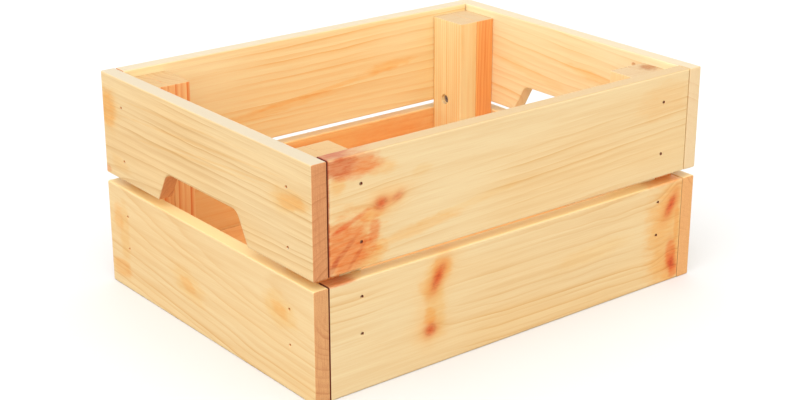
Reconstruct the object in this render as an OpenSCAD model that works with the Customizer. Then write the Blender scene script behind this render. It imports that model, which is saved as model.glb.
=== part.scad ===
// Wooden apple crate: two boards to each wall, nailed to doubled corner battens, over a slatted floor.
// Millimetres. The origin is the centre of the footprint, on the ground. +X runs along the crate's
// length, +Y towards its back wall and +Z up. Left is -X, right is +X, front is -Y, back is +Y.

/* [Crate] */
// Outside length, over the two end walls
crate_length = 480; // [440:10:560]
// Outside width, over the two long walls
crate_width = 360; // [320:10:420]
// Thickness of the wall boards
board_thickness = 16; // [14:0.5:18]
// Height of the lower board of every wall
lower_board_height = 110; // [104:1:116]
// Height of the upper board of every wall
upper_board_height = 107; // [104:1:116]
// Air gap between a wall's two boards
wall_gap = 9; // [4:0.5:12]
// Gap between a long board's end and the end wall
butt_gap = 0.8; // [0.2:0.1:1.2]
// Radius of the planed edges along a board
arris_radius = 1.5; // [1:0.5:3]
// Radius of the eased edges at a board's sawn ends
end_radius = 0.8; // [0.4:0.1:1.2]

/* [Hand-holds] */
// Width of the hand-hold at the board's lower edge
hold_bottom_width = 156; // [140:2:170]
// Width of the hand-hold at its top, before the corners are rounded
hold_top_width = 122; // [100:2:130]
// Height of the hand-hold
hold_height = 31; // [28:1:40]
// Radius of the hand-hold's upper corners
hold_corner_radius = 12; // [8:1:14]

/* [Corner posts] */
// Thickness of one batten, along the crate's length
batten_thickness = 24; // [24:1:28]
// Width of one batten, along the crate's width
batten_width = 48; // [44:1:56]
// Radius of a batten's long edges
batten_radius = 1.5; // [0.5:0.5:3]
// Distance from the rim down to the top of the posts
post_drop = 8; // [4:1:14]

/* [Floor] */
// Gap between two slats
slat_gap = 5; // [3:0.5:10]
// Thickness of a slat
slat_thickness = 15; // [14:1:18]
// Thickness of the bearers under the slats
bearer_thickness = 15; // [14:1:18]
// Width of a bearer
bearer_width = 48; // [46:1:56]
// Play between the floor's edges and the walls
floor_play = 0.5; // [0.3:0.1:1.5]

/* [Nails] */
// Radius of a nail's shank
nail_radius = 0.9; // [0.7:0.1:1.1]
// Radius of a nail's head
nail_head_radius = 1.4; // [1.3:0.1:1.8]
// Depth to which a nail's head is punched in
nail_set = 1.5; // [1:0.1:2]
// Reach of a wall nail into its batten
nail_reach = 20.5; // [14:0.5:21]
// Height of a long wall's lowest nail
long_nail_1 = 56; // [44:1:60]
// Height of the second nail in a long wall's lower board
long_nail_2 = 92; // [80:1:100]
// Height of the first nail in a long wall's upper board, above that board's lower edge
long_nail_3 = 25; // [18:1:34]
// Height of the second nail in a long wall's upper board, above that board's lower edge
long_nail_4 = 79; // [60:1:88]
// Height of an end wall's lowest nail
end_nail_1 = 46; // [40:1:56]
// Height of the second nail in an end wall's lower board
end_nail_2 = 81; // [76:1:98]
// Height of the first nail in an end wall's upper board, above that board's lower edge
end_nail_3 = 21; // [18:1:36]
// Height of the second nail in an end wall's upper board, above that board's lower edge
end_nail_4 = 77; // [60:1:88]
// Distance of an end wall's nails from the crate's side
end_nail_inset = 37.5; // [34:0.5:44]

/* [Screws] */
// Radius of a screw's shank
screw_radius = 2; // [1.5:0.1:2.4]
// Radius of a screw's head
screw_head_radius = 4.2; // [3.8:0.1:4.6]
// Radius of the counterbore above a post screw
counterbore_radius = 5.5; // [5:0.1:6.5]
// Depth of that counterbore
counterbore_depth = 3; // [2:0.5:5]
// Length of a post screw
post_screw_length = 35; // [30:1:36]
// Height of the lower post screw
post_screw_1 = 68; // [66:1:70]
// Height of the upper post screw
post_screw_2 = 125; // [122:1:126]
// Distance of the post screws from the crate's side
post_screw_inset = 37; // [34:0.5:42]
// Length of a floor screw
floor_screw_length = 58; // [50:1:58]
// Distance of the floor screws from the crate's side
floor_screw_inset = 52; // [49:0.5:55]

/* [Hidden] */
$fn = 48;

// Which side of the crate a piece is on
front = -1;
back = 1;
left = -1;
right = 1;
both_sides = [-1, 1];

half_length = crate_length / 2;
half_width = crate_width / 2;
inside_length = crate_length - 2 * board_thickness;
inside_width = crate_width - 2 * board_thickness;
upper_base = lower_board_height + wall_gap;
crate_height = upper_base + upper_board_height;
long_wall_y = half_width - board_thickness / 2;
end_wall_x = half_length - board_thickness / 2;

inner_batten_x = half_length - board_thickness - 1.5 * batten_thickness;
post_face_x = inner_batten_x - batten_thickness / 2;
outer_batten_x = half_length - board_thickness - 0.5 * batten_thickness;
batten_y = half_width - board_thickness - batten_width / 2;

floor_top = bearer_thickness + slat_thickness;
post_top = crate_height - post_drop;
slat_count = 5;
floor_length = inside_length - 2 * floor_play;
floor_width = inside_width - 2 * floor_play;
slat_width = (floor_width - (slat_count - 1) * slat_gap) / slat_count;
end_bearer_x = floor_length / 2 - bearer_width / 2;

// Nails: a cylindrical head, a shank and a point. The bore that holds one is larger by the play.
fastener_play = 0.04;
above_surface = 1;
nail_head_height = 1;
nail_point = 3;
nail_tip_radius = 0.2;
wall_nail_length = board_thickness - nail_set + nail_reach;
floor_nail_length = floor_top - nail_set - 4;
slat_nail_offset = slat_width / 3;
long_nail_heights = [long_nail_1, long_nail_2, upper_base + long_nail_3, upper_base + long_nail_4];
end_nail_heights = [end_nail_1, end_nail_2, upper_base + end_nail_3, upper_base + end_nail_4];

// Screws: a countersunk head with a cross recess, a shank and a point
screw_head_height = 2.6;
screw_point = 5;
screw_tip_radius = 0.4;
floor_screw_depth = 0.4;
floor_screw_rim = screw_head_radius + 0.3;
recess_length = 4.6;
recess_width = 1;
recess_depth = 1.6;
post_screw_heights = [post_screw_1, post_screw_2];

board_colour = [0.96, 0.80, 0.56];
end_board_colour = [0.95, 0.83, 0.64];
batten_colour = [0.95, 0.76, 0.48];
outer_batten_colour = [0.92, 0.66, 0.36];
floor_colour = [0.93, 0.72, 0.45];
nail_colour = [0.42, 0.36, 0.32];
screw_colour = [0.62, 0.62, 0.64];

// ---- shared shapes ----

// Rectangle with rounded corners, centred
module rounded_rectangle(width, depth, radius) {
    square([width - 2 * radius, depth], center = true);
    square([width, depth - 2 * radius], center = true);
    for (x = both_sides, y = both_sides)
        translate([x * (width / 2 - radius), y * (depth / 2 - radius)])
            circle(r = radius);
}

// Planed board along X, centred on X and Y, standing on z = 0
module planed_board(length, thickness, height) {
    translate([0, 0, height / 2])
        intersection() {
            rotate([90, 0, 90])
                linear_extrude(height = length, center = true)
                    rounded_rectangle(thickness, height, arris_radius);
            rotate([90, 0, 0])
                linear_extrude(height = thickness, center = true)
                    rounded_rectangle(length, height, end_radius);
            linear_extrude(height = height, center = true)
                rounded_rectangle(length, thickness, end_radius);
        }
}

// Nail about the Z axis: a head whose top is at head_top, then a shank and a point below z = 0
module nail_shape(length, head_top, play) {
    head_edge = nail_head_radius + play;
    shank_edge = nail_radius + play;
    head_bottom = -nail_head_height - play;
    tip = -length - play;
    rotate_extrude()
        polygon([
            [0, head_top], [head_edge, head_top], [head_edge, head_bottom], [shank_edge, head_bottom],
            [shank_edge, nail_point - length], [nail_tip_radius + play, tip], [0, tip]
        ]);
}

// Nail driven into a surface at z = 0
module driven_nail(length) {
    translate([0, 0, -nail_set])
        nail_shape(length, 0, 0);
}

// Hole that a driven nail leaves, open at the surface
module nail_bore(length) {
    translate([0, 0, -nail_set])
        nail_shape(length, nail_set + above_surface, fastener_play);
}

// Profile of a screw's tapered head, shank and point, from the head's rim down
function screw_profile(length, play) = [
    [screw_head_radius + play, 0], [screw_radius + play, -screw_head_height],
    [screw_radius + play, screw_point - length], [screw_tip_radius + play, -length - play],
    [0, -length - play]
];

// Screw whose head lies a given depth below a surface at z = 0
module sunk_screw(length, depth) {
    translate([0, 0, -depth])
        difference() {
            rotate_extrude()
                polygon(concat([[0, 0]], screw_profile(length, 0)));
            for (turn = [0, 90])
                rotate([0, 0, turn])
                    cube([recess_length, recess_width, 2 * recess_depth], center = true);
        }
}

// Hole for such a screw, with a bore of a given radius above its head
module screw_bore(length, depth, radius) {
    top = depth + above_surface;
    translate([0, 0, -depth])
        rotate_extrude()
            polygon(concat([[0, top], [radius, top], [radius, 0]], screw_profile(length, fastener_play)));
}

// ---- places of the fasteners ----
// In each module the children's +Z points out of the surface that the fastener enters.

module at_long_wall_nails(side) {
    for (end = both_sides, height = long_nail_heights)
        translate([end * inner_batten_x, side * half_width, height])
            rotate([-90 * side, 0, 0])
                children();
}

module at_end_wall_nails(side) {
    for (edge = both_sides, height = end_nail_heights)
        translate([side * half_length, edge * (half_width - end_nail_inset), height])
            rotate([0, 90 * side, 0])
                children();
}

module at_post_screws(end) {
    for (edge = both_sides, height = post_screw_heights)
        translate([end * post_face_x, edge * (half_width - post_screw_inset), height])
            rotate([0, -90 * end, 0])
                children();
}

module at_floor_screws(end) {
    for (edge = both_sides, x = [inner_batten_x, outer_batten_x])
        translate([end * x, edge * (half_width - floor_screw_inset), 0])
            rotate([180, 0, 0])
                children();
}

module at_slat_nails(index) {
    for (x = [-end_bearer_x, 0, end_bearer_x], offset = both_sides)
        translate([x, slat_y(index) + offset * slat_nail_offset, floor_top])
            children();
}

function slat_y(index) = -floor_width / 2 + slat_width / 2 + index * (slat_width + slat_gap);

// ---- walls ----

module long_board(side, base, height) {
    color(board_colour)
        difference() {
            translate([0, side * long_wall_y, base])
                planed_board(inside_length - 2 * butt_gap, board_thickness, height);
            at_long_wall_nails(side)
                nail_bore(wall_nail_length);
        }
}

module end_board(side, base, height) {
    color(end_board_colour)
        difference() {
            translate([side * end_wall_x, 0, base])
                rotate([0, 0, 90])
                    planed_board(crate_width, board_thickness, height);
            at_end_wall_nails(side)
                nail_bore(wall_nail_length);
        }
}

// Outline of a hand-hold, its lower edge on the board's lower edge at y = 0
module hold_outline() {
    slope = (hold_bottom_width - hold_top_width) / 2;
    side_length = sqrt(slope * slope + hold_height * hold_height);
    normal_x = hold_height / side_length;
    normal_y = slope / side_length;
    centre_y = hold_height - hold_corner_radius;
    centre_x = hold_bottom_width / 2 - (hold_corner_radius + centre_y * normal_y) / normal_x;
    tangent_x = centre_x + hold_corner_radius * normal_x;
    tangent_y = centre_y + hold_corner_radius * normal_y;
    below_x = hold_bottom_width / 2 + slope / hold_height * above_surface;
    polygon([
        [-below_x, -above_surface], [below_x, -above_surface],
        [tangent_x, tangent_y], [centre_x, hold_height],
        [-centre_x, hold_height], [-tangent_x, tangent_y]
    ]);
    for (side = both_sides)
        translate([side * centre_x, centre_y])
            circle(r = hold_corner_radius);
}

module handle_board(side) {
    color(end_board_colour)
        difference() {
            end_board(side, upper_base, upper_board_height);
            translate([side * end_wall_x, 0, upper_base])
                rotate([90, 0, 90])
                    linear_extrude(height = 2 * board_thickness, center = true)
                        hold_outline();
        }
}

// ---- corner posts ----

module batten(end, edge, x) {
    translate([end * x, edge * batten_y, floor_top])
        linear_extrude(height = post_top - floor_top)
            rounded_rectangle(batten_thickness, batten_width, batten_radius);
}

module inner_batten(end, edge) {
    color(batten_colour)
        difference() {
            batten(end, edge, inner_batten_x);
            at_long_wall_nails(edge)
                nail_bore(wall_nail_length);
            at_post_screws(end)
                screw_bore(post_screw_length, counterbore_depth, counterbore_radius);
            at_floor_screws(end)
                screw_bore(floor_screw_length, floor_screw_depth, floor_screw_rim);
        }
}

module outer_batten(end, edge) {
    color(outer_batten_colour)
        difference() {
            batten(end, edge, outer_batten_x);
            at_end_wall_nails(end)
                nail_bore(wall_nail_length);
            at_post_screws(end)
                screw_bore(post_screw_length, counterbore_depth, counterbore_radius);
            at_floor_screws(end)
                screw_bore(floor_screw_length, floor_screw_depth, floor_screw_rim);
        }
}

// ---- floor ----

module floor_slat(index) {
    color(floor_colour)
        difference() {
            translate([0, slat_y(index), bearer_thickness])
                planed_board(floor_length, slat_width, slat_thickness);
            at_slat_nails(index)
                nail_bore(floor_nail_length);
            for (end = both_sides)
                at_floor_screws(end)
                    screw_bore(floor_screw_length, floor_screw_depth, floor_screw_rim);
        }
}

module bearer(x) {
    color(floor_colour)
        difference() {
            translate([x, 0, 0])
                rotate([0, 0, 90])
                    planed_board(floor_width, bearer_width, bearer_thickness);
            for (index = [0:slat_count - 1])
                at_slat_nails(index)
                    nail_bore(floor_nail_length);
            for (end = both_sides)
                at_floor_screws(end)
                    screw_bore(floor_screw_length, floor_screw_depth, floor_screw_rim);
        }
}

// ---- fasteners ----

module long_wall_nails(side) {
    color(nail_colour)
        at_long_wall_nails(side)
            driven_nail(wall_nail_length);
}

module end_wall_nails(side) {
    color(nail_colour)
        at_end_wall_nails(side)
            driven_nail(wall_nail_length);
}

module floor_nails() {
    color(nail_colour)
        for (index = [0:slat_count - 1])
            at_slat_nails(index)
                driven_nail(floor_nail_length);
}

module post_screws() {
    color(screw_colour)
        for (end = both_sides)
            at_post_screws(end)
                sunk_screw(post_screw_length, counterbore_depth);
}

module floor_screws() {
    color(screw_colour)
        for (end = both_sides)
            at_floor_screws(end)
                sunk_screw(floor_screw_length, floor_screw_depth);
}

long_board(front, upper_base, upper_board_height);  // front_board_upper
long_board(front, 0, lower_board_height);  // front_board_lower
long_board(back, upper_base, upper_board_height);  // back_board_upper
long_board(back, 0, lower_board_height);  // back_board_lower
handle_board(left);  // left_handle_board
end_board(left, 0, lower_board_height);  // left_board_lower
handle_board(right);  // right_handle_board
end_board(right, 0, lower_board_height);  // right_board_lower
inner_batten(left, front);  // inner_batten_front_left
inner_batten(right, front);  // inner_batten_front_right
inner_batten(left, back);  // inner_batten_back_left
inner_batten(right, back);  // inner_batten_back_right
outer_batten(left, front);  // outer_batten_front_left
outer_batten(right, front);  // outer_batten_front_right
outer_batten(left, back);  // outer_batten_back_left
outer_batten(right, back);  // outer_batten_back_right
floor_slat(0);  // floor_slat_1
floor_slat(1);  // floor_slat_2
floor_slat(2);  // floor_slat_3
floor_slat(3);  // floor_slat_4
floor_slat(4);  // floor_slat_5
bearer(-end_bearer_x);  // bearer_left
bearer(0);  // bearer_middle
bearer(end_bearer_x);  // bearer_right
long_wall_nails(front);  // front_nails
long_wall_nails(back);  // back_nails
end_wall_nails(left);  // left_nails
end_wall_nails(right);  // right_nails
floor_nails();
post_screws();
floor_screws();
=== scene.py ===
import math

import bmesh
import bpy
import numpy as np
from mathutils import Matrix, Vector, noise
from mathutils.geometry import delaunay_2d_cdt


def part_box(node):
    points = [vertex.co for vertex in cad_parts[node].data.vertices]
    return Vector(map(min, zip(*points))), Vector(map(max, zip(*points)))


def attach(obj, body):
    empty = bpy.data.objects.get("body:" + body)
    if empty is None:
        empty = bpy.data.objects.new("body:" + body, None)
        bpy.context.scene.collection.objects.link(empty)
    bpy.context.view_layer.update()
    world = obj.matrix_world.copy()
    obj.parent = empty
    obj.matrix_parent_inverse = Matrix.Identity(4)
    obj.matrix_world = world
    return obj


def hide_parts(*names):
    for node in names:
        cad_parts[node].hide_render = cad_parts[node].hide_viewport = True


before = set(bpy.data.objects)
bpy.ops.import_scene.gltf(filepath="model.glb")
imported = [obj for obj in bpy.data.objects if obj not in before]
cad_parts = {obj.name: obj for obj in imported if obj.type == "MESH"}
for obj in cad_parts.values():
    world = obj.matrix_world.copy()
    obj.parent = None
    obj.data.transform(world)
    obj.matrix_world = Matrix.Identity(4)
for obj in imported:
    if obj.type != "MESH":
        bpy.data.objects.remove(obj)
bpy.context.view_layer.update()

MM = 0.001
X, Y, Z = 0, 1, 2


# ---------------------------------------------------------------- places read from the frame

NAIL_NODES = ("front_nails", "back_nails", "left_nails", "right_nails", "floor_nails")
SCREW_NODES = ("post_screws", "floor_screws")
MICRONS_PER_METRE = 1e6

# Within END_DEPTH of its end, a head reaches further than HEAD_REACH from the middle line. A point doesn't
END_DEPTH = 0.5 * MM
HEAD_REACH = 1.2 * MM


def islands(mesh):
    """The mesh's separate solids, each as an array of its points."""
    parent = list(range(len(mesh.vertices)))

    def root(i):
        while parent[i] != i:
            parent[i] = parent[parent[i]]
            i = parent[i]
        return i

    first_at = {}
    for vertex in mesh.vertices:
        key = tuple(round(c * MICRONS_PER_METRE) for c in vertex.co)
        parent[root(vertex.index)] = root(first_at.setdefault(key, vertex.index))
    for edge in mesh.edges:
        a, b = edge.vertices
        parent[root(a)] = root(b)
    groups = {}
    for vertex in mesh.vertices:
        groups.setdefault(root(vertex.index), []).append(tuple(vertex.co))
    return [np.array(points) for points in groups.values()]


def fasteners(node, kind):
    """Each nail or screw of a CAD node: where the middle of its head is, which way it faces, its length."""
    found = []
    for points in islands(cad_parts[node].data):
        low, high = points.min(0), points.max(0)
        axis = int(np.argmax(high - low))
        across = [k for k in (X, Y, Z) if k != axis]
        middle = (low + high) / 2
        near_top = points[points[:, axis] > high[axis] - END_DEPTH]
        facing = 1 if np.abs(near_top[:, across] - middle[across]).max() > HEAD_REACH else -1
        head = Vector(middle)
        head[axis] = high[axis] if facing > 0 else low[axis]
        length = float(high[axis] - low[axis])
        found.append({"kind": kind, "head": head, "axis": axis, "facing": facing, "length": length})
    return found


FASTENERS = []
for nails in NAIL_NODES:
    FASTENERS += fasteners(nails, "nail")
for screws, kind in zip(SCREW_NODES, ("post_screw", "floor_screw")):
    FASTENERS += fasteners(screws, kind)


# ---------------------------------------------------------------- solid pieces

CORNER_STEPS = 6
EASE_STEPS = 4

# A line of vertices this far inside each edge keeps the shading of the faces flat
EDGE_MARGIN = 0.5 * MM

# Filling a flat end: how far its rows of points lean either way, and the triangulation's settings
STAGGER = 0.25
INSIDE_ONLY = 1
CLOSEST = 1e-7


def new_object(name, mesh):
    made = bpy.data.objects.new(name, mesh)
    bpy.context.scene.collection.objects.link(made)
    return made


def from_bmesh(name, bm):
    """A mesh made of a bmesh, which is freed."""
    mesh = bpy.data.meshes.new(name)
    bm.to_mesh(mesh)
    bm.free()
    return mesh


def others(axis):
    """The two axes across an axis."""
    return (axis + 1) % 3, (axis + 2) % 3


def unit(degrees):
    """Direction at an angle."""
    angle = math.radians(degrees)
    return math.cos(angle), math.sin(angle)


def eased(radius, degrees):
    """How deep and how far in a point is, on the quarter circle that rounds an edge off."""
    cosine, sine = unit(degrees)
    return radius * (1 - cosine), radius * (1 - sine)


def steps(low, high, spacing, margin):
    """Values from low to high about a spacing apart, with one more a margin from each end."""
    count = max(2, round((high - low) / spacing))
    inner = [low + (high - low) * i / count for i in range(1, count)]
    clear = 1.5 * margin
    inner = [v for v in inner if low + clear < v < high - clear]
    return [low, low + margin] + inner + [high - margin, high]


def section_loop(width, height, radius, spacing):
    """Points and outward normals round a rectangle with rounded corners, centred, anticlockwise."""
    points = []
    half_w, half_h = width / 2 - radius, height / 2 - radius
    corners = [(half_w, -half_h, -90), (half_w, half_h, 0), (-half_w, half_h, 90), (-half_w, -half_h, 180)]
    for index, (x, y, start) in enumerate(corners):
        for i in range(CORNER_STEPS + 1):
            normal = unit(start + 90 * i / CORNER_STEPS)
            points.append(((x + radius * normal[0], y + radius * normal[1]), normal))
        next_x, next_y, next_start = corners[(index + 1) % len(corners)]
        normal = unit(next_start)
        begin = points[-1][0]
        end = (next_x + radius * normal[0], next_y + radius * normal[1])
        length = math.dist(begin, end)
        for s in steps(0, length, spacing, EDGE_MARGIN)[1:-1]:
            t = s / length
            point = (begin[0] + (end[0] - begin[0]) * t, begin[1] + (end[1] - begin[1]) * t)
            points.append((point, normal))
    return points


def skin(bm, rings):
    """Faces between each ring of vertices and the next."""
    for ring, following in zip(rings, rings[1:]):
        for i in range(len(ring)):
            j = (i + 1) % len(ring)
            bm.faces.new((ring[i], ring[j], following[j], following[i]))


def prism(name, low, high, axis, radius, easing, spacing):
    """Bar between two corners, its long edges rounded by radius and its ends eased by easing."""
    u, v = others(axis)
    middle = (low + high) / 2
    loop = section_loop(high[u] - low[u], high[v] - low[v], radius, spacing)
    start = []
    for i in range(EASE_STEPS):
        depth, inset = eased(easing, 90 * i / EASE_STEPS)
        start.append((low[axis] + depth, inset))
    body = [(s, 0.0) for s in steps(low[axis] + easing, high[axis] - easing, spacing, EDGE_MARGIN)]
    end = [(low[axis] + high[axis] - s, inset) for s, inset in reversed(start)]
    bm = bmesh.new()
    rings = []
    for along, inset in start + body + end:
        ring = []
        for (p, q), (n_p, n_q) in loop:
            co = Vector((0, 0, 0))
            co[axis] = along
            co[u] = middle[u] + p - n_p * inset
            co[v] = middle[v] + q - n_q * inset
            ring.append(bm.verts.new(co))
        rings.append(ring)
    skin(bm, rings)
    cap(bm, rings[0], axis, spacing / 2, flip=True)
    cap(bm, rings[-1], axis, spacing / 2, flip=False)
    return new_object(name, from_bmesh(name, bm))


def cap(bm, ring, axis, spacing, flip):
    """Flat end inside a ring of vertices, as small triangles."""
    u, v = others(axis)
    outline = [Vector((vert.co[u], vert.co[v])) for vert in ring]
    low = Vector((min(p.x for p in outline), min(p.y for p in outline)))
    high = Vector((max(p.x for p in outline), max(p.y for p in outline)))
    inner = []
    columns, rows = round((high.x - low.x) / spacing), round((high.y - low.y) / spacing)
    for i in range(1, columns):
        for j in range(1, rows):
            shift = STAGGER if j % 2 else -STAGGER
            x = low.x + (high.x - low.x) * (i + shift) / columns
            inner.append(Vector((x, low.y + (high.y - low.y) * j / rows)))
    edges = [(i, (i + 1) % len(outline)) for i in range(len(outline))]
    co, _, faces, origin, _, _ = delaunay_2d_cdt(outline + inner, edges, [], INSIDE_ONLY, CLOSEST)
    verts = []
    for point, sources in zip(co, origin):
        if sources and sources[0] < len(ring):
            verts.append(ring[sources[0]])
            continue
        where = Vector((0, 0, 0))
        where[axis] = ring[0].co[axis]
        where[u], where[v] = point
        verts.append(bm.verts.new(where))
    for face in faces:
        corner = [verts[i] for i in face]
        bm.faces.new(reversed(corner) if flip else corner)


def lathe(bm, fastener, profile, segments):
    """Closed solid round a fastener: profile is (height above its head, radius) from the top down."""
    axis = fastener["axis"]
    u, v = others(axis)
    rings = []
    for height, radius in profile:
        ring = []
        for i in range(segments):
            angle = 2 * math.pi * i / segments
            co = fastener["head"].copy()
            co[axis] += fastener["facing"] * height
            co[u] += radius * math.cos(angle)
            co[v] += radius * math.sin(angle)
            ring.append(bm.verts.new(co))
        rings.append(ring)
    skin(bm, rings)
    bm.faces.new(rings[0])
    bm.faces.new(rings[-1])


# ---------------------------------------------------------------- bores

# The CAD fasteners' sizes. Those of heads, shanks and tips are radii
NAIL_HEAD, NAIL_SHANK, NAIL_TIP = 1.4 * MM, 0.9 * MM, 0.24 * MM
NAIL_HEAD_DEPTH, NAIL_POINT = 1 * MM, 3 * MM
SCREW_HEAD, SCREW_SHANK, SCREW_TIP = 4.2 * MM, 2 * MM, 0.44 * MM
SCREW_HEAD_DEPTH, SCREW_POINT = 2.6 * MM, 5 * MM

PLAY = 0.04 * MM
NAIL_SEGMENTS, SCREW_SEGMENTS = 16, 28

# How far a nail's head is below the surface, and the wood that it pushed aside there:
# (height above the surface, what is added to the head's radius)
NAIL_SET = 1.5 * MM
NAIL_MOUTH = ((1 * MM, 0.9 * MM), (0, 0.35 * MM), (-0.5 * MM, 0))

# The hole above a screw's head: (height above the head, radius)
POST_SCREW_MOUTH = [(4 * MM, 6.1 * MM), (3 * MM, 5.8 * MM), (2.6 * MM, 5.5 * MM), (0.05 * MM, 5.5 * MM)]
FLOOR_SCREW_MOUTH = [(1.4 * MM, 4.5 * MM), (0.05 * MM, 4.5 * MM)]

# A fastener that goes less than this into a box, in metres, only touches it
TOUCH = 1e-4


def bore_profile(fastener):
    """The hole a fastener sits in, from above the surface down, measured from the top of its head."""
    tip = -fastener["length"] - PLAY
    if fastener["kind"] == "nail":
        head, shank = NAIL_HEAD + PLAY, NAIL_SHANK + PLAY
        seat = -NAIL_HEAD_DEPTH - PLAY
        mouth = [(NAIL_SET + height, head + extra) for height, extra in NAIL_MOUTH]
        return mouth + [(seat, head), (seat, shank), (tip + NAIL_POINT, shank), (tip, NAIL_TIP)]
    head, shank = SCREW_HEAD + PLAY, SCREW_SHANK + PLAY
    mouth = FLOOR_SCREW_MOUTH if fastener["kind"] == "floor_screw" else POST_SCREW_MOUTH
    return mouth + [(0, head), (-SCREW_HEAD_DEPTH, shank), (tip + SCREW_POINT, shank), (tip, SCREW_TIP)]


def overlaps(fastener, low, high):
    """Whether a fastener reaches into a box."""
    axis, head = fastener["axis"], fastener["head"]
    above = head[axis] + TOUCH * fastener["facing"]
    point = head[axis] - fastener["length"] * fastener["facing"]
    ends = sorted((above, point))
    if ends[1] < low[axis] + TOUCH or ends[0] > high[axis] - TOUCH:
        return False
    return all(low[k] < head[k] < high[k] for k in (X, Y, Z) if k != axis)


def cut(piece, bm):
    """Takes a closed solid out of a piece."""
    bmesh.ops.recalc_face_normals(bm, faces=bm.faces)
    mesh = from_bmesh("cutter", bm)
    cutter = new_object("cutter", mesh)
    modifier = piece.modifiers.new("cut", "BOOLEAN")
    modifier.operation = "DIFFERENCE"
    modifier.solver = "EXACT"
    modifier.object = cutter
    graph = bpy.context.evaluated_depsgraph_get()
    result = bpy.data.meshes.new_from_object(piece.evaluated_get(graph))
    piece.modifiers.clear()
    old = piece.data
    piece.data = result
    bpy.data.meshes.remove(old)
    bpy.data.objects.remove(cutter)
    bpy.data.meshes.remove(mesh)


def drill(piece, low, high):
    """Bores in a piece for every fastener that passes through it."""
    bm = bmesh.new()
    for fastener in FASTENERS:
        if overlaps(fastener, low, high):
            segments = NAIL_SEGMENTS if fastener["kind"] == "nail" else SCREW_SEGMENTS
            lathe(bm, fastener, bore_profile(fastener), segments)
    if bm.verts:
        cut(piece, bm)
    else:
        bm.free()


# ---------------------------------------------------------------- hand-hold

HOLD_BOTTOM, HOLD_TOP, HOLD_HEIGHT, HOLD_RADIUS = 156 * MM, 122 * MM, 31 * MM, 12 * MM
HOLD_EASE = 1.3 * MM

# How far the solid that cuts it runs past the board's lower edge, and past its faces
HOLD_BELOW = 3 * MM
HOLD_PAST = 1 * MM

# Steps up each slanted side, round each bend, along half the top, round the eased edges and through
SIDE_STEPS, BEND_STEPS, TOP_STEPS, HOLD_EASE_STEPS, THROUGH_STEPS = 6, 10, 8, 5, 4


def hold_outline(offset, below):
    """The hand-hold's outline, grown by an offset, with its open side a distance below the board's edge."""
    slope = (HOLD_BOTTOM - HOLD_TOP) / 2
    side = math.hypot(slope, HOLD_HEIGHT)
    normal = Vector((HOLD_HEIGHT, slope)) / side
    centre_y = HOLD_HEIGHT - HOLD_RADIUS
    centre_x = HOLD_BOTTOM / 2 - (HOLD_RADIUS + centre_y * normal.y) / normal.x
    reach = HOLD_RADIUS + offset
    tangent = Vector((centre_x, centre_y)) + normal * reach
    foot = tangent + Vector((normal.y, -normal.x)) * (tangent.y + below) / normal.x
    half = []
    for i in range(SIDE_STEPS):
        half.append((foot.x + (tangent.x - foot.x) * i / SIDE_STEPS,
                     foot.y + (tangent.y - foot.y) * i / SIDE_STEPS))
    start = math.atan2(normal.y, normal.x)
    for i in range(BEND_STEPS + 1):
        angle = start + (math.pi / 2 - start) * i / BEND_STEPS
        half.append((centre_x + reach * math.cos(angle), centre_y + reach * math.sin(angle)))
    top_x, top_y = half[-1]
    half += [(top_x * (1 - i / TOP_STEPS), top_y) for i in range(1, TOP_STEPS)]
    return half + [(0, top_y)] + [(-x, y) for x, y in reversed(half)]


def cut_hold(piece, low, high):
    """Cuts the hand-hold through an end board, its edges eased on both faces."""
    stations = [(-HOLD_PAST, HOLD_EASE + HOLD_PAST)]
    stations += [eased(HOLD_EASE, 90 * i / HOLD_EASE_STEPS) for i in range(HOLD_EASE_STEPS + 1)]
    places = [(low.x + depth, offset) for depth, offset in stations]
    places += [(low.x + (high.x - low.x) * i / THROUGH_STEPS, 0.0) for i in range(1, THROUGH_STEPS)]
    places += [(high.x - depth, offset) for depth, offset in reversed(stations)]
    bm = bmesh.new()
    rings = []
    for x, offset in places:
        rings.append([bm.verts.new((x, y, low.z + z)) for y, z in hold_outline(offset, HOLD_BELOW)])
    skin(bm, rings)
    bm.faces.new(rings[0])
    bm.faces.new(rings[-1])
    cut(piece, bm)


# ---------------------------------------------------------------- surfaces of the pieces

# Unevenness: the length of its wide and fine waves, and the fine ones' share
WIDE_WAVE, FINE_WAVE, FINE_SHARE = 30 * MM, 7 * MM, 0.6

WELD = 1e-6
SHARP_FROM = math.radians(32)
MOST_CORNERS = 4


def weather(piece, amount, seed):
    """Slight unevenness all over, along each vertex's normal."""
    offset = Vector((seed * 3.7, seed * 1.3, seed * 2.1))
    for vertex in piece.data.vertices:
        wide = noise.noise(vertex.co / WIDE_WAVE + offset)
        fine = noise.noise(vertex.co / FINE_WAVE - offset)
        vertex.co += vertex.normal * amount * (wide + FINE_SHARE * fine)


def finish_mesh(piece, material):
    """Welds a piece's mesh, splits its large faces, smooths its shading and gives it a material."""
    mesh = piece.data
    bm = bmesh.new()
    bm.from_mesh(mesh)
    bmesh.ops.remove_doubles(bm, verts=bm.verts, dist=WELD)
    bmesh.ops.triangulate(bm, faces=[f for f in bm.faces if len(f.verts) > MOST_CORNERS])
    bmesh.ops.recalc_face_normals(bm, faces=bm.faces)
    bm.to_mesh(mesh)
    bm.free()
    mesh.shade_smooth()
    mesh.set_sharp_from_angle(angle=SHARP_FROM)
    mesh.materials.clear()
    mesh.materials.append(material)
    for polygon in mesh.polygons:
        polygon.material_index = 0


# ---------------------------------------------------------------- shader helper

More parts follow.
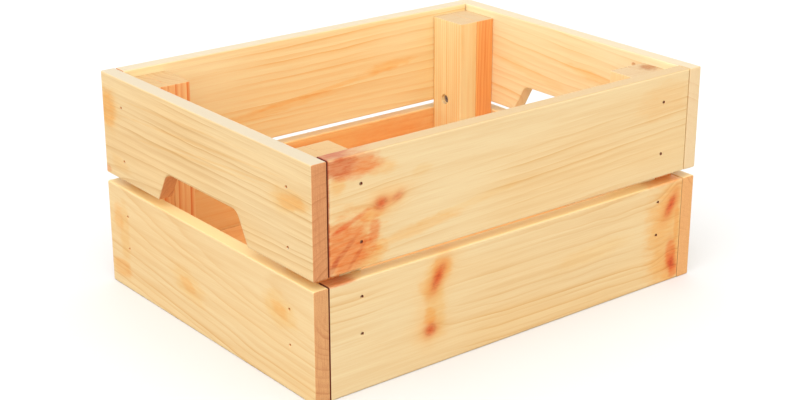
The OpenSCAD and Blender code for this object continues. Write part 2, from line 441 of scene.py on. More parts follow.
class Shader:
    """A material being built. Each method adds nodes and returns an output socket."""

    def __init__(self, name):
        self.material = bpy.data.materials.new(name)
        self.material.use_nodes = True
        self.tree = self.material.node_tree
        self.surface = self.tree.nodes["Principled BSDF"]

    def node(self, kind, inputs=(), **settings):
        """A new node itself, with its inputs set or linked."""
        made = self.tree.nodes.new("ShaderNode" + kind)
        for key, value in settings.items():
            setattr(made, key, value)
        for key, value in dict(inputs).items():
            self.put(made.inputs[key], value)
        return made

    def put(self, socket, value):
        """Links an output to an input, or sets the input to a constant."""
        if isinstance(value, bpy.types.NodeSocket):
            self.tree.links.new(value, socket)
        else:
            socket.default_value = value

    def math(self, operation, *values):
        return self.node("Math", dict(enumerate(values)), operation=operation).outputs[0]

    def add(self, a, b):
        return self.math("ADD", a, b)

    def times(self, a, b):
        return self.math("MULTIPLY", a, b)

    def length(self, vector):
        return self.node("VectorMath", {0: vector}, operation="LENGTH").outputs["Value"]

    def split(self, vector):
        return list(self.node("SeparateXYZ", {0: vector}).outputs)

    def join(self, x, y, z):
        return self.node("CombineXYZ", {0: x, 1: y, 2: z}).outputs[0]

    def step(self, value, start, end, low=0.0, high=1.0):
        """Smooth step of value, from low at start to high at end."""
        inputs = {"Value": value, "From Min": start, "From Max": end, "To Min": low, "To Max": high}
        return self.node("MapRange", inputs, interpolation_type="SMOOTHSTEP").outputs["Result"]

    def noise(self, vector, scale, detail, roughness=0.5):
        inputs = {"Vector": vector, "Scale": scale, "Detail": detail, "Roughness": roughness}
        return self.node("TexNoise", inputs).outputs["Fac"]

    def mix(self, factor, a, b, blend="MIX"):
        made = self.node("Mix", data_type="RGBA", blend_type=blend)
        self.put(made.inputs[0], factor)
        self.put(made.inputs[6], a)
        self.put(made.inputs[7], b)
        return made.outputs[2]

    def towards(self, colour, other, value, start, end, amount):
        """Colour that goes up to an amount of the way to another, as a value goes from start to end."""
        return self.mix(self.step(value, start, end, 0.0, amount), colour, other)

    def tinted(self, colour, weight, tint):
        """Colour multiplied by a tint, where there is weight."""
        return self.mix(weight, colour, tint, "MULTIPLY")

    def stretch(self, vector, size, shift=(0, 0, 0)):
        """Vector over a size on each axis, for noise drawn out along the grain."""
        inputs = {"Vector": vector, "Scale": [1 / length for length in size], "Location": shift}
        return self.node("Mapping", inputs).outputs[0]

    def spot(self, vector, place, size, lean):
        """Distance from a place in sizes, so 1 on the edge of an ellipse that leans by some degrees."""
        inputs = {"Vector": vector, "Location": (*place, 0), "Rotation": (0, 0, math.radians(lean)),
                  "Scale": (*size, 1)}
        made = self.node("Mapping", inputs, vector_type="TEXTURE")
        return self.length(made.outputs[0])

    def bell(self, distance, width=1.0):
        """1 at distance 0, falling to nothing at about twice the width."""
        ratio = self.times(distance, 1 / width)
        return self.math("EXPONENT", self.times(self.times(ratio, ratio), -1.0))


def linear(red, green, blue):
    """Display values of 0 to 255, as the linear colour that a shader takes."""
    def one(value):
        c = value / 255
        return c / 12.92 if c <= 0.04045 else ((c + 0.055) / 1.055) ** 2.4
    return (one(red), one(green), one(blue), 1.0)


# ---------------------------------------------------------------- wood

# Tints that multiply the wood's colour, so that its grain still shows through
HALO = (1.0, 0.80, 0.56, 1.0)
HEART = (0.84, 0.25, 0.12, 1.0)
BARK = (0.42, 0.16, 0.10, 1.0)

# Sizes of the noises, in metres along the grain, across the face and through the thickness
WANDER_SIZE = (0.16, 0.05, 0.05)
RIPPLE_SIZE = (0.035, 0.012, 0.012)
PATCH_SIZE = (0.22, 0.06, 0.06)
FIBRE_SIZE = (0.050, 0.0011, 0.0011)
STREAK_SIZE = (0.17, 0.0065, 0.0065)
DUCT_SIZE = (0.007, 0.00045, 0.00045)
TONE_SIZE = (0.35, 0.09, 0.09)
STAIN_EDGE_SIZE = (0.022, 0.008, 0.008)
STAIN_DAB_SIZE = (0.012, 0.0022, 0.0022)
KNOT_EDGE_SIZE = (0.012, 0.008, 1)
CRACK_SIZE = (0.005, 0.0022, 1)
PORE_SIZE = (0.5, 0.0009, 0.0009)
SAW_SIZE = (1.0, 0.020, 0.0012)

# A knot bends the rings out to this many times its own radii, and pushes them this hard
BEND_LONG, BEND_SHORT = 3.2, 2.4
PINCH, BULGE = -0.62, 0.8

# Where the closed joint's painted shade and dirt lie on an end board, from the board's centre: along it, and
# towards the inside
JOINT_ALONG = (-163.0 * MM, -164.6 * MM)
JOINT_INWARD = (6.2 * MM, 7.4 * MM)


class Wood(Shader):
    """Pine whose rings are sheets round a pith that runs beside the piece, nearly along it.

    axes are the piece's length, width and thickness axes, and middle is its centre. Each layer
    is a method that takes the sockets it builds on and returns its own.
    """

    def __init__(self, name, axes, middle, board_look):
        super().__init__(name)
        self.axes = axes
        self.middle = middle
        self.look = board_look
        parts = self.split(self.node("TexCoord").outputs["Object"])
        self.along, self.across, self.through = (self.add(parts[k], -middle[k]) for k in axes)
        self.grain = self.join(self.along, self.across, self.through)
        self.flat = self.join(self.along, self.across, 0.0)
        self.normal = self.split(self.node("NewGeometry").outputs["Normal"])
        seed = board_look["seed"]
        self.shift = (seed * 1.7, seed * 0.9, seed * 2.3)

    def drawn(self, vector, size, detail=2.0, roughness=0.5):
        """Noise of a size along, across and through the piece."""
        return self.noise(self.stretch(vector, size, self.shift), 1.0, detail, roughness)

    def sway(self, size, amount):
        """Noise about zero, up to about the amount either way."""
        return self.times(self.add(self.drawn(self.grain, size), -0.5), 4 * amount)

    def centre(self, along, across):
        """A place in crate coordinates, from the middle of the piece."""
        return along - self.middle[self.axes[0]], across - self.middle[self.axes[1]]

    def knot_places(self, knots):
        """Distance from each knot with its darkness, and how the knots pinch the rings and bulge them."""
        marks = []
        pinch = 0.0
        bulge = 0.0
        for along, across, long_radius, short_radius, lean, darkness in knots:
            centre = self.centre(along, across)
            ragged = self.drawn(self.flat, KNOT_EDGE_SIZE, 3.0)
            distance = self.spot(self.flat, centre, (long_radius, short_radius), lean)
            distance = self.times(distance, self.add(self.times(ragged, 0.5), 0.75))
            marks.append((distance, darkness))
            reach = (BEND_LONG * long_radius, BEND_SHORT * short_radius)
            near = self.bell(self.spot(self.flat, centre, reach, lean))
            offset = self.add(self.across, -centre[1])
            pinch = self.add(pinch, self.times(self.times(offset, near), PINCH))
            bulge = self.add(bulge, self.times(near, BULGE * short_radius))
        return marks, pinch, bulge

    def late_wood(self, pinch, bulge):
        """The dark line that ends each year's ring. The rings wander slowly along the board."""
        look = self.look
        wander = self.sway(WANDER_SIZE, look["wander"] * MM)
        ripple = self.sway(RIPPLE_SIZE, look["ripple"] * MM)
        tilt_through, tilt_across = look["tilt"]
        pith_across, pith_through = look["pith"]
        a = self.add(self.add(self.across, -pith_across), self.times(self.along, -tilt_across))
        a = self.add(a, self.add(wander, pinch))
        b = self.add(self.add(self.through, -pith_through), self.times(self.along, -tilt_through))
        b = self.add(b, self.times(wander, 0.6))
        radius = self.length(self.join(0.0, a, b))
        radius = self.add(self.add(radius, ripple), bulge)
        years = self.times(radius, 1 / (look["ring"] * MM))
        uneven = self.noise(self.join(0.0, 0.0, years), 0.45, 2.0)
        years = self.add(years, self.times(uneven, look["uneven"]))
        year = self.math("FRACT", years)
        number = self.math("FLOOR", years)
        each = self.node("TexWhiteNoise", {"W": number}, noise_dimensions="1D").outputs["Value"]
        late = self.times(self.math("POWER", year, look["sharp"]), self.step(year, 0.90, 1.0, 1.0, 0.0))
        late = self.times(late, self.add(self.times(self.times(each, each), 0.9), 0.3))
        patchy = self.drawn(self.grain, PATCH_SIZE)
        return self.times(late, self.step(patchy, 0.36, 0.64, look["calm"], 1.3))

    def fibres(self):
        """Fine streaks drawn out along the grain, and short resin ducts."""
        fibre = self.drawn(self.grain, FIBRE_SIZE, 4.0, 0.62)
        duct = self.step(self.drawn(self.grain, DUCT_SIZE, 1.0), 0.66, 0.74)
        return fibre, duct

    def clear_wood(self, late, fibre, duct):
        """Colour of the long faces before knots and stains. Edges get painted light, the rim painted shade.
        """
        look = self.look
        streak = self.drawn(self.grain, STREAK_SIZE, 3.0)
        tone = self.drawn(self.grain, TONE_SIZE)
        colour = self.mix(self.times(late, look["contrast"]), look["early"], look["late"])
        colour = self.towards(colour, look["warm"], tone, 0.3, 0.75, look["tone"])
        colour = self.towards(colour, look["late"], streak, 0.35, 0.75, look["streak"])
        colour = self.towards(colour, look["late"], fibre, 0.25, 0.8, look["fibre"])
        colour = self.mix(self.times(duct, 0.25), colour, look["warm"])
        # Painted light: the boards' top and bottom faces, seen in the gaps, turn towards a pale even colour
        edge = self.math("ABSOLUTE", self.normal[self.axes[1]])
        colour = self.towards(colour, EDGE_PAINTED_LIGHT, edge, 0.6, 0.98, look["edge"])
        # Painted shade: the rim's upward faces turn towards a greyer colour that holds back the overhead
        # light on them
        if look["rim"]:
            colour = self.towards(colour, look["rim_colour"], self.normal[Z], 0.35, 0.95, look["rim"])
        return colour

    def smears(self, stains):
        """Weight and tint of each stain: those on the faces, then those that lie over a sawn end too."""
        ragged = self.drawn(self.grain, STAIN_EDGE_SIZE, 4.0, 0.65)
        dabs = self.drawn(self.grain, STAIN_DAB_SIZE, 3.0, 0.6)
        on_faces = []
        on_ends = []
        for along, across, long_radius, short_radius, lean, strength, tint, *deep in stains:
            distance = self.spot(self.flat, self.centre(along, across), (long_radius, short_radius), lean)
            if deep:
                depth, depth_radius = deep
                away = self.add(self.through, self.middle[self.axes[2]] - depth)
                away = self.times(away, 1 / depth_radius)
                distance = self.length(self.join(distance, away, 0.0))
            distance = self.add(distance, self.times(self.add(ragged, -0.5), 1.15))
            weight = self.step(distance, 0.50, 1.2, strength, 0.0)
            weight = self.times(weight, self.step(dabs, 0.30, 0.62, 1.0, 0.72))
            if deep:
                on_ends.append((weight, tint))
            else:
                on_faces.append((weight, tint))
        return on_faces, on_ends

    def knotty(self, colour, marks):
        """Colour with each knot's halo, heart, rim and pip on it, and where the knots' hard wood is."""
        hard = 0.0
        crack = self.step(self.drawn(self.flat, CRACK_SIZE, 3.0, 0.65), 0.42, 0.62)
        for distance, darkness in marks:
            colour = self.tinted(colour, self.times(self.bell(distance, 2.6), darkness), HALO)
            core = self.bell(distance, 1.15)
            colour = self.tinted(colour, self.times(core, 0.95 * darkness), HEART)
            rim = self.times(self.bell(self.add(distance, -0.75), 0.30), crack)
            colour = self.tinted(colour, self.times(rim, 0.22 * darkness), BARK)
            pip = self.times(self.bell(distance, 0.35), crack)
            colour = self.tinted(colour, self.times(pip, 0.35 * darkness), BARK)
            hard = self.math("MAXIMUM", hard, core)
        return colour, hard

    def joint_shade(self, colour):
        """Dirt and shade in the closed joint where a long board butts on an end wall."""
        reach = self.step(self.along, *JOINT_ALONG)
        inward = self.step(self.times(self.through, self.look["joint"]), *JOINT_INWARD)
        return self.tinted(colour, self.times(reach, inward), self.look["joint_tint"])

    def sawn_ends(self, colour, late):
        """Colour with the sawn ends: open grain with the rings and the saw's marks."""
        look = self.look
        facing = self.normal[self.axes[0]]
        end = self.step(self.math("ABSOLUTE", facing), look["end_from"], look["end_from"] + 0.3)
        pores = self.drawn(self.grain, PORE_SIZE, 4.0, 0.7)
        saw = self.drawn(self.grain, SAW_SIZE, 3.0, 0.6)
        end_colour = self.mix(self.times(late, 0.8), look["end"], look["end_late"])
        end_colour = self.towards(end_colour, look["end_late"], pores, 0.35, 0.7, 0.45)
        end_colour = self.towards(end_colour, look["end_late"], saw, 0.4, 0.7, look["saw"])
        # Where far_end is set, on the long boards, both ends are painted shade of the joints, the far one
        # lighter
        if look["far_end"]:
            end_colour = self.towards(end_colour, look["far_end"], facing, 0.0, 0.2, 1.0)
        return self.mix(end, colour, end_colour), end, pores, saw

    def finish(self, late, fibre, duct, hard, end, pores, saw):
        """Roughness and relief."""
        rough = self.add(self.times(fibre, 0.14), 0.36)
        rough = self.add(rough, self.times(late, -0.06))
        rough = self.add(rough, self.times(hard, -0.08))
        rough = self.add(rough, self.times(end, 0.3))
        self.put(self.surface.inputs["Roughness"], rough)
        self.put(self.surface.inputs["Specular IOR Level"], 0.5)

        relief = self.add(self.times(fibre, 0.05), self.times(late, 0.05))
        relief = self.add(relief, self.times(duct, -0.05))
        sawn = self.times(self.add(pores, self.times(saw, 2.5 * self.look["saw"])), end)
        relief = self.add(relief, self.times(sawn, 0.22))
        relief = self.add(relief, self.times(hard, 0.04))
        inputs = {"Height": relief, "Distance": self.look["relief"] * MM, "Strength": 0.8}
        self.put(self.surface.inputs["Normal"], self.node("Bump", inputs).outputs[0])


def wood(name, axes, middle, board_look, knots, stains):
    """A piece's wood, layer on layer.

    Knots are (along, across, long radius, short radius, lean, darkness), and stains are
    (along, across, long radius, short radius, lean, strength, colour), in crate coordinates. A
    stain that also has a depth and a depth radius lies over the sawn end as well.
    """
    s = Wood(name, axes, middle, board_look)
    marks, pinch, bulge = s.knot_places(knots)
    late = s.late_wood(pinch, bulge)
    fibre, duct = s.fibres()
    colour = s.clear_wood(late, fibre, duct)
    on_faces, on_ends = s.smears(stains)
    # Some stains are painted shade, in the joints, the gaps and on the back wall, as the lists mark
    for weight, tint in on_faces:
        colour = s.tinted(colour, weight, tint)
    colour, hard = s.knotty(colour, marks)
    if board_look["joint"]:
        colour = s.joint_shade(colour)
    colour, end, pores, saw = s.sawn_ends(colour, late)
    for weight, tint in on_ends:
        colour = s.tinted(colour, weight, tint)
    s.put(s.surface.inputs["Base Color"], colour)
    s.finish(late, fibre, duct, hard, end, pores, saw)
    return s.material


# ---------------------------------------------------------------- looks of the boards

# Colours of the timber, then painted shade for the joints and the rim and painted light for the edge faces
PALE = linear(247, 221, 170)
GOLD = linear(224, 171, 100)
WARM = linear(246, 196, 122)
END = linear(226, 158, 102)
END_LATE = linear(196, 118, 66)
# Painted shade in the joints, on the long boards' hidden ends
DARK_JOINT_SHADE = linear(118, 46, 20)
# Painted shade on the rim's upward faces, of the back and end walls, then of the front wall
RIM_PAINTED_SHADE = linear(206, 190, 161)
FRONT_RIM_PAINTED_SHADE = linear(202, 169, 119)
# Painted light on the boards' top and bottom faces, in the gaps between them
EDGE_PAINTED_LIGHT = linear(248, 219, 155)

# What a look holds. early, late and warm are the timber's colours, end and end_late those of its sawn
# ends, and far_end is the colour of the other end where it differs. contrast, tone, streak, fibre and
# saw are how strongly each shows, edge that of the painted light on the boards' tops and bottoms, and rim
# that of the painted shade on the rim's upward faces. wander and ripple bend the rings, in mm. sharp narrows
# their dark lines, uneven varies their widths, and calm is how much of them is left in quiet patches.
# relief is in mm. end_from is how squarely a surface faces along the piece before it counts as sawn.
# joint is 1 or -1 where a long board butts on this one, with the crate's inside on that side, or 0.
# joint_tint is the painted shade and dirt laid in that joint.
PLAIN = {
    "early": PALE, "late": GOLD, "warm": WARM, "end": END, "end_late": END_LATE,
    "contrast": 1.0, "tone": 0.4, "streak": 0.25, "fibre": 0.22,
    "wander": 2.5, "ripple": 0.35, "sharp": 2.8, "relief": 1.0, "joint": 0,
    "uneven": 3.6, "calm": 0.15, "rim": 0.0, "end_from": 0.55, "edge": 0.0, "saw": 0.4, "far_end": None,
    "joint_tint": (0.34, 0.11, 0.05, 1.0), "rim_colour": RIM_PAINTED_SHADE,
}


def look(seed, pith, tilt, ring, **changes):
    """How a piece's wood differs from plain: pith is in mm from its centre, ring is a year in mm."""
    chosen = dict(PLAIN, seed=seed, pith=(pith[0] * MM, pith[1] * MM), tilt=tilt, ring=ring)
    chosen.update(changes)
    return chosen


# Axes of each kind of piece along its length, width and thickness
LONG_AXES = (X, Z, Y)
END_AXES = (Y, Z, X)
POST_AXES = (Z, Y, X)
SLAT_AXES = (X, Y, Z)
BEARER_AXES = (Y, X, Z)

# Tints of stains
REDDISH = (0.93, 0.44, 0.24, 1.0)
RUST = (0.70, 0.24, 0.10, 1.0)
TAN = (0.98, 0.86, 0.64, 1.0)
ORANGE = (1.0, 0.74, 0.42, 1.0)
BROWN_EYE = (0.64, 0.34, 0.20, 1.0)

# Knots and stains, placed one by one. wood() says what each number is
FRONT_UPPER_KNOTS = [(-0.1660, 0.1750, 0.0068, 0.0050, 15, 1.0), (-0.1480, 0.1772, 0.0066, 0.0036, 18, 0.6)]
FRONT_UPPER_STAINS = [
    (-0.198, 0.217, 0.036, 0.014, -7, 1.0, REDDISH), (-0.211, 0.219, 0.022, 0.011, 0, 0.65, RUST),
    (-0.172, 0.210, 0.028, 0.010, -10, 0.6, ORANGE), (-0.212, 0.201, 0.010, 0.010, 0, 0.7, ORANGE),
    (-0.204, 0.143, 0.030, 0.030, 12, 1.0, REDDISH), (-0.200, 0.145, 0.037, 0.036, 20, 0.8, ORANGE),
    (-0.174, 0.150, 0.007, 0.016, -10, 0.85, REDDISH), (-0.202, 0.1640, 0.026, 0.0032, 22, 0.8, REDDISH),
    (-0.208, 0.138, 0.022, 0.0030, 42, 0.45, RUST), (-0.192, 0.134, 0.018, 0.0026, 50, 0.4, RUST),
    # The strip at -0.2236 along, thin and as tall as the board, is painted shade in the corner joint
    (-0.218, 0.128, 0.012, 0.0034, 60, 0.5, RUST), (-0.2236, 0.172, 0.0022, 0.200, 0, 1.0, RUST),
    (-0.176, 0.166, 0.016, 0.007, 0, 0.6, ORANGE), (-0.180, 0.132, 0.020, 0.020, 0, 0.7, ORANGE),
    (-0.120, 0.142, 0.060, 0.007, 6, 0.6, ORANGE), (-0.060, 0.152, 0.080, 0.004, 6, 0.5, TAN),
    (0.190, 0.200, 0.040, 0.020, 4, 0.35, ORANGE), (-0.120, 0.196, 0.014, 0.006, 10, 0.5, TAN),
]
FRONT_LOWER_KNOTS = [
    (-0.1010, 0.0875, 0.0125, 0.0054, 62, 1.0), (-0.1097, 0.0370, 0.0066, 0.0058, 0, 1.0),
    (0.2080, 0.0850, 0.0120, 0.0052, 60, 1.0), (0.2135, 0.0190, 0.0056, 0.0066, 0, 1.0),
]
FRONT_LOWER_STAINS = [
    (0.206, 0.052, 0.036, 0.070, 0, 0.9, ORANGE), (-0.104, 0.066, 0.013, 0.040, 8, 0.9, TAN),
    # The thin strip at -0.212 along and 0.1105 across lies on the board's top edge: painted shade in the gap
    (-0.096, 0.096, 0.012, 0.014, 60, 0.9, ORANGE), (-0.212, 0.1105, 0.022, 0.0022, 0, 0.9, RUST),
    (0.211, 0.032, 0.008, 0.018, 0, 0.9, REDDISH), (-0.110, 0.050, 0.008, 0.010, 0, 0.8, ORANGE),
    # The thin strip at 0.202 along and 0.1105 across is painted shade in the gap too, by the far post
    (0.202, 0.1105, 0.030, 0.0024, 0, 0.6, REDDISH), (-0.114, 0.080, 0.008, 0.014, 60, 0.5, ORANGE),
    (0.218, 0.060, 0.004, 0.030, 0, 0.7, ORANGE), (0.217, 0.010, 0.008, 0.008, 0, 0.8, REDDISH),
    (0.100, 0.060, 0.060, 0.010, 3, 0.5, TAN),
]
LEFT_UPPER_STAINS = [
    (0.171, 0.190, 0.017, 0.021, 0, 1.0, ORANGE), (-0.146, 0.184, 0.034, 0.013, -8, 0.9, TAN),
    (-0.150, 0.184, 0.024, 0.0085, -8, 0.7, ORANGE), (0.150, 0.135, 0.020, 0.008, 10, 0.6, TAN),
    (0.168, 0.190, 0.022, 0.026, 0, 0.7, TAN), (0.176, 0.124, 0.006, 0.004, 0, 0.6, REDDISH),
    (0.020, 0.178, 0.110, 0.0018, -4, 0.6, TAN), (0.000, 0.196, 0.150, 0.0016, -3, 0.6, TAN),
    (-0.030, 0.186, 0.110, 0.0014, -4, 0.6, TAN), (0.040, 0.208, 0.120, 0.0014, -2, 0.5, TAN),
]
LEFT_LOWER_STAINS = [
    (-0.127, 0.075, 0.028, 0.018, 10, 0.9, TAN), (0.150, 0.060, 0.010, 0.040, 0, 0.8, TAN),
    (0.030, 0.045, 0.034, 0.016, 14, 0.8, TAN), (-0.127, 0.075, 0.014, 0.008, 10, 0.7, ORANGE),
    (0.030, 0.045, 0.016, 0.007, 14, 0.6, ORANGE), (0.160, 0.020, 0.020, 0.012, 0, 0.8, ORANGE),
    (0.162, 0.075, 0.010, 0.018, 0, 0.7, ORANGE),
]
RIGHT_UPPER_STAINS = [
    (-0.060, 0.185, 0.060, 0.006, 6, 0.6, ORANGE), (-0.103, 0.2136, 0.003, 0.002, 0, 0.8, BROWN_EYE),
    (0.060, 0.170, 0.080, 0.006, 8, 0.4, ORANGE),
]
BACK_UPPER_STAINS = [
    (-0.060, 0.150, 0.110, 0.006, 4, 0.5, ORANGE), (0.110, 0.172, 0.040, 0.006, 3, 0.7, ORANGE),
    (-0.150, 0.142, 0.050, 0.010, 0, 0.5, ORANGE), (0.020, 0.160, 0.120, 0.003, 5, 0.6, ORANGE),
]
# Painted shade, warm orange, on the back wall just below its gap, standing in for light bounced between the
# walls
BACK_LOWER_PAINTED_SHADE = [
    (0.050, 0.090, 0.120, 0.030, 2, 0.5, ORANGE), (0.120, 0.092, 0.070, 0.020, 2, 0.35, REDDISH),
]

# Painted shade and dirt in the joints of the right wall, which are paler than those of the left wall
JOINT_BROWN = (0.90, 0.74, 0.54, 1.0)

# Sawn ends
PALE_END = {"end": linear(244, 214, 166), "end_late": linear(234, 194, 142), "saw": 0.15}
TAWNY_END = {"end": linear(246, 184, 116), "end_late": linear(214, 134, 72), "saw": 0.15}
# The long boards' ends hide in the joints but for their eased edges: painted shade, very dark at the near
# end and brown at the far end
SHADED_JOINT_ENDS = {"end": DARK_JOINT_SHADE, "end_late": DARK_JOINT_SHADE, "end_from": 0.30, "far_end": linear(206, 140, 84)}
LEFT_LOWER_END = {"end": linear(232, 174, 114), "end_late": linear(200, 124, 72)}

# Timber of other colours than plain
YELLOW = {"early": linear(243, 230, 180), "late": linear(230, 174, 96), "warm": linear(250, 206, 130)}
YELLOWER = {"early": linear(243, 238, 200), "late": linear(234, 194, 128), "warm": linear(250, 212, 140)}
AMBER = {"early": linear(242, 208, 144), "late": linear(230, 158, 88), "warm": linear(246, 172, 96)}
FLOOR_LOOK = {"early": linear(240, 190, 124), "late": linear(222, 142, 72), "warm": linear(240, 160, 84)}

# Every timber node: its axes, look, knots and stains
BOARDS = {
    "front_board_upper": (LONG_AXES, look(1, (-84, 24), (0.02, 0.055), 6.4, rim=0.9, rim_colour=FRONT_RIM_PAINTED_SHADE,
                                          edge=0.9, **SHADED_JOINT_ENDS),
                          FRONT_UPPER_KNOTS, FRONT_UPPER_STAINS),
    "front_board_lower": (LONG_AXES, look(2, (70, 30), (0.03, -0.03), 7.0, edge=0.9, **SHADED_JOINT_ENDS),
                          FRONT_LOWER_KNOTS, FRONT_LOWER_STAINS),
    "back_board_upper": (LONG_AXES, look(3, (-70, 30), (0.04, 0.03), 7.5, rim=0.85, edge=0.9, **YELLOW),
                         (), BACK_UPPER_STAINS),
    "back_board_lower": (LONG_AXES, look(4, (70, -30), (0.03, 0.02), 6.5, edge=0.95, **AMBER),
                         (), BACK_LOWER_PAINTED_SHADE),
    "left_handle_board": (END_AXES, look(5, (-66, 30), (0.05, 0.03), 6.6, contrast=1.1, joint=1,
                                         rim=0.95, edge=0.8, late=linear(206, 154, 86), sharp=3.2),
                          (), LEFT_UPPER_STAINS),
    "left_board_lower": (END_AXES, look(6, (50, 34), (0.06, 0.06), 7.2, joint=1, edge=0.9, **LEFT_LOWER_END),
                         (), LEFT_LOWER_STAINS),
    "right_handle_board": (END_AXES, look(7, (-60, -36), (0.06, 0.04), 7.0, rim=0.8, edge=0.9, joint=-1,
                                          joint_tint=JOINT_BROWN, **PALE_END, **YELLOWER),
                           (), RIGHT_UPPER_STAINS),
    "right_board_lower": (END_AXES, look(8, (60, 40), (0.06, -0.04), 6.4, edge=0.9, joint=-1,
                                         joint_tint=JOINT_BROWN, **TAWNY_END),
                          (), ()),
}

# The battens of the posts
POST_TOP = {"end": linear(214, 188, 146), "end_late": linear(200, 158, 110), "saw": 0.15}
TAN_TOP = {"end": linear(216, 182, 128), "end_late": linear(200, 152, 98)}
STRIPED = {"sharp": 1.3, "uneven": 1.2, "calm": 0.8, "wander": 0.7}
INNER_BATTEN = dict(POST_TOP, **STRIPED, early=linear(242, 234, 184), late=linear(232, 170, 88))
OUTER_BATTEN = dict(POST_TOP, **STRIPED, early=linear(248, 192, 118), late=linear(222, 108, 40),
                    warm=linear(244, 156, 76), tone=0.5)
PALE_BATTEN = dict(INNER_BATTEN, early=linear(248, 228, 178), late=linear(240, 198, 130), contrast=0.6)
BOLD_BATTEN = dict(OUTER_BATTEN, early=linear(250, 216, 152), late=linear(222, 112, 44), contrast=1.2)
TAN_INNER = dict(INNER_BATTEN, **TAN_TOP)
TAN_OUTER = dict(OUTER_BATTEN, **TAN_TOP)
TAN_BOLD = dict(BOLD_BATTEN, **TAN_TOP)
INNER_LOOKS = {"front_left": TAN_INNER, "front_right": PALE_BATTEN, "back_left": TAN_BOLD,
               "back_right": INNER_BATTEN}
OUTER_LOOKS = {"front_left": TAN_OUTER, "front_right": OUTER_BATTEN, "back_left": TAN_BOLD,
               "back_right": OUTER_BATTEN}
POST_SMEAR = [(0.218, -0.131, 0.010, 0.011, 0, 0.8, BROWN_EYE, 0.216, 0.011),
              (0.218, -0.130, 0.010, 0.006, 0, 0.4, ORANGE, 0.216, 0.008)]

# The battens, slats and bearers step from piece to piece in seed and in the place of the pith, so
# that no two are alike. Only the post whose stripes show most has wide rings
BOLD_POST = "back_left"
INNER_SEED, OUTER_SEED, SLAT_SEED, BEARER_SEED = 11, 21, 31, 41
POST_TILT, SLAT_TILT, BEARER_TILT = (0.01, 0.01), (0.05, 0.03), (0.03, 0.02)
SLAT_RING, BEARER_RING = 5.6, 5.0

for index, corner in enumerate(("front_left", "front_right", "back_left", "back_right")):
    bold = corner == BOLD_POST
    inner_pith = (20, 80) if bold else (90, 25 - 9 * index)
    inner_ring = 5.6 if bold else 3.6
    inner = look(INNER_SEED + index, inner_pith, POST_TILT, inner_ring, **INNER_LOOKS[corner])
    outer_pith = (20 + 7 * index, 70)
    outer_ring = 5.2 if bold else 3.2
    outer = look(OUTER_SEED + index, outer_pith, POST_TILT, outer_ring, **OUTER_LOOKS[corner])
    outer_stains = POST_SMEAR if corner == "front_right" else ()
    BOARDS["inner_batten_" + corner] = (POST_AXES, inner, (), ())
    BOARDS["outer_batten_" + corner] = (POST_AXES, outer, (), outer_stains)
for index in range(5):
    slat = look(SLAT_SEED + index, (12 * index - 30, 40), SLAT_TILT, SLAT_RING, **FLOOR_LOOK)
    BOARDS["floor_slat_%d" % (index + 1)] = (SLAT_AXES, slat, (), ())
for index, place in enumerate(("left", "middle", "right")):
    bearer = look(BEARER_SEED + index, (50 - 20 * index, 30), BEARER_TILT, BEARER_RING, **FLOOR_LOOK)
    BOARDS["bearer_" + place] = (BEARER_AXES, bearer, (), ())


# ---------------------------------------------------------------- boards

EDGE_RADIUS = 1.5 * MM
MESH_SPACING = 6 * MM
BATTEN_EASING, BOARD_EASING = 0.5 * MM, 0.8 * MM
BATTEN_WEAR, BOARD_WEAR = 0.09 * MM, 0.05 * MM


def build_board(node):
    """The timber piece that stands for a CAD node. Battens are rougher sawn than boards."""
    axes, board_look, knots, stains = BOARDS[node]
    low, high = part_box(node)
    batten = "batten" in node
    easing = BATTEN_EASING if batten else BOARD_EASING
    piece = prism(node + ".wood", low, high, axes[0], EDGE_RADIUS, easing, MESH_SPACING)
    if "handle" in node:
        cut_hold(piece, low, high)
    drill(piece, low, high)
    weather(piece, BATTEN_WEAR if batten else BOARD_WEAR, board_look["seed"])
    material = wood("wood_" + node, axes, (low + high) / 2, board_look, knots, stains)
    finish_mesh(piece, material)
    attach(piece, "root")
    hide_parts(node)
    if batten:
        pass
    elif axes == LONG_AXES:
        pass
    elif axes == END_AXES:
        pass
    else:
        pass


# ---------------------------------------------------------------- metal

BLOTCHES_PER_METRE = 900.0
SCRATCH_SIZE = (0.004, 0.0004, 0.0004)


def metal(name, colour, rust, roughness):
    """Plated steel with blotches of rust and fine scratches."""
    s = Shader(name)
    place = s.node("TexCoord").outputs["Object"]
    blotch = s.noise(place, BLOTCHES_PER_METRE, 4.0, 0.6)
    scratch = s.noise(s.stretch(place, SCRATCH_SIZE), 1.0, 3.0)
    s.put(s.surface.inputs["Base Color"], s.towards(colour, rust, blotch, 0.45, 0.7, 0.7))
    s.put(s.surface.inputs["Metallic"], s.step(blotch, 0.5, 0.75, 1.0, 0.5))
    s.put(s.surface.inputs["Roughness"], s.add(s.times(scratch, 0.3), roughness))
    bump = s.node("Bump", {"Height": s.add(blotch, scratch), "Distance": 0.06 * MM, "Strength": 0.6})
    s.put(s.surface.inputs["Normal"], bump.outputs[0])
    return s.material


def give(nodes, material):
    """Gives CAD nodes a material in place of their own."""
    for node in nodes:
        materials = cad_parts[node].data.materials
        materials.clear()
        materials.append(material)


# ---------------------------------------------------------------- the scene

# The photograph's viewpoint, fitted to the crate's straight edges: degrees, metres and millimetres
CAMERA_AZIMUTH, CAMERA_ELEVATION = 38.373, 20.763
CAMERA_PLACE = (-0.98104, -1.23551, 0.68339)
LENS, SENSOR = 73.789, 36
VIEW_DISTANCE = 100

FLOOR_REACH = 6.0
FLOOR_SEEN = ((0.80, 0.80, 0.80, 1), (0.78, 0.78, 0.78, 1))
FLOOR_BOUNCED = (0.36, 0.35, 0.34, 1)

# The sky's strength goes from the first to the second of SKY_GLOW between the heights
SKY_HEIGHTS = (0.10, 0.55)
SKY_GLOW = (1.45, 0.72)

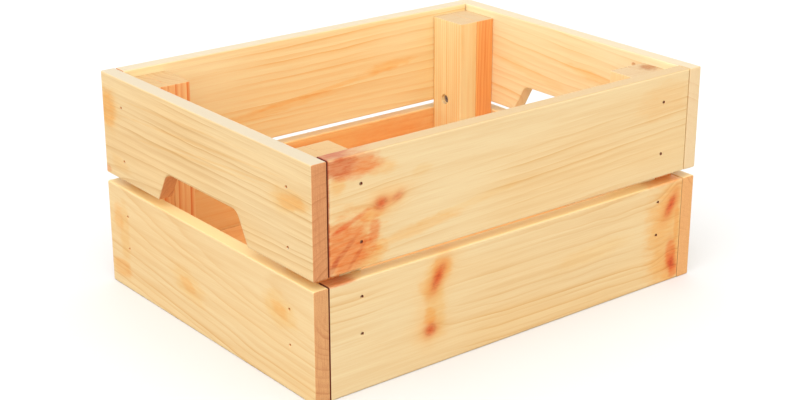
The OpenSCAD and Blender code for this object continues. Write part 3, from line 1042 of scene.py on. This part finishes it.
# Where each soft sun stands, its strength and the angle it fills, in degrees
KEY = ((-1.0, -0.7, 1.15), 1.15, 70)
OVERHEAD = ((-0.1, -0.1, 1.0), 1.22, 100)


def build_camera():
    data = bpy.data.cameras.new("camera")
    camera = new_object("camera", data)
    azimuth, elevation = math.radians(CAMERA_AZIMUTH), math.radians(CAMERA_ELEVATION)
    aim = Vector((math.cos(elevation) * math.sin(azimuth), math.cos(elevation) * math.cos(azimuth),
                  -math.sin(elevation)))
    camera.location = CAMERA_PLACE
    camera.rotation_euler = aim.to_track_quat("-Z", "Y").to_euler()
    data.sensor_width = SENSOR
    data.lens = LENS
    data.clip_end = VIEW_DISTANCE
    bpy.context.scene.camera = camera


def build_floor():
    """Pale floor to the camera, that bounces only as much light as the photograph's floor does."""
    far = FLOOR_REACH
    mesh = bpy.data.meshes.new("floor")
    mesh.from_pydata([(-far, -far, 0), (far, -far, 0), (far, far, 0), (-far, far, 0)], [], [(0, 1, 2, 3)])
    floor = new_object("floor", mesh)
    s = Shader("studio_floor")
    tone = s.noise(s.node("TexCoord").outputs["Object"], 3.0, 2.0)
    pale = s.mix(tone, *FLOOR_SEEN)
    seen = s.node("LightPath").outputs["Is Camera Ray"]
    s.put(s.surface.inputs["Base Color"], s.mix(seen, FLOOR_BOUNCED, pale))
    s.put(s.surface.inputs["Roughness"], 0.9)
    s.put(s.surface.inputs["Specular IOR Level"], 0.1)
    mesh.materials.append(s.material)


def sun(name, place, strength, angle):
    """Wide soft light from a place's direction."""
    data = bpy.data.lights.new(name, "SUN")
    data.energy = strength
    data.angle = math.radians(angle)
    light = new_object(name, data)
    light.rotation_euler = (-Vector(place)).to_track_quat("-Z", "Y").to_euler()


def build_light():
    """White sky, brightest low down, and two soft suns."""
    scene = bpy.context.scene
    world = bpy.data.worlds.new("studio")
    scene.world = world
    world.use_nodes = True
    tree = world.node_tree
    place = tree.nodes.new("ShaderNodeTexCoord")
    height = tree.nodes.new("ShaderNodeSeparateXYZ")
    glow = tree.nodes.new("ShaderNodeMapRange")
    glow.interpolation_type = "SMOOTHSTEP"
    for socket, value in zip(("From Min", "From Max", "To Min", "To Max"), SKY_HEIGHTS + SKY_GLOW):
        glow.inputs[socket].default_value = value
    background = tree.nodes["Background"]
    background.inputs["Color"].default_value = (1, 1, 1, 1)
    tree.links.new(place.outputs["Generated"], height.inputs[0])
    tree.links.new(height.outputs["Z"], glow.inputs["Value"])
    tree.links.new(glow.outputs["Result"], background.inputs["Strength"])
    scene.view_settings.view_transform = "Standard"
    sun("key", *KEY)
    sun("overhead", *OVERHEAD)


build_camera()
build_floor()
build_light()
for name in BOARDS:
    build_board(name)
give(NAIL_NODES, metal("nail_metal", linear(190, 158, 124), linear(130, 84, 54), 0.4))
give(SCREW_NODES, metal("screw_metal", linear(166, 166, 178), linear(112, 108, 112), 0.25))
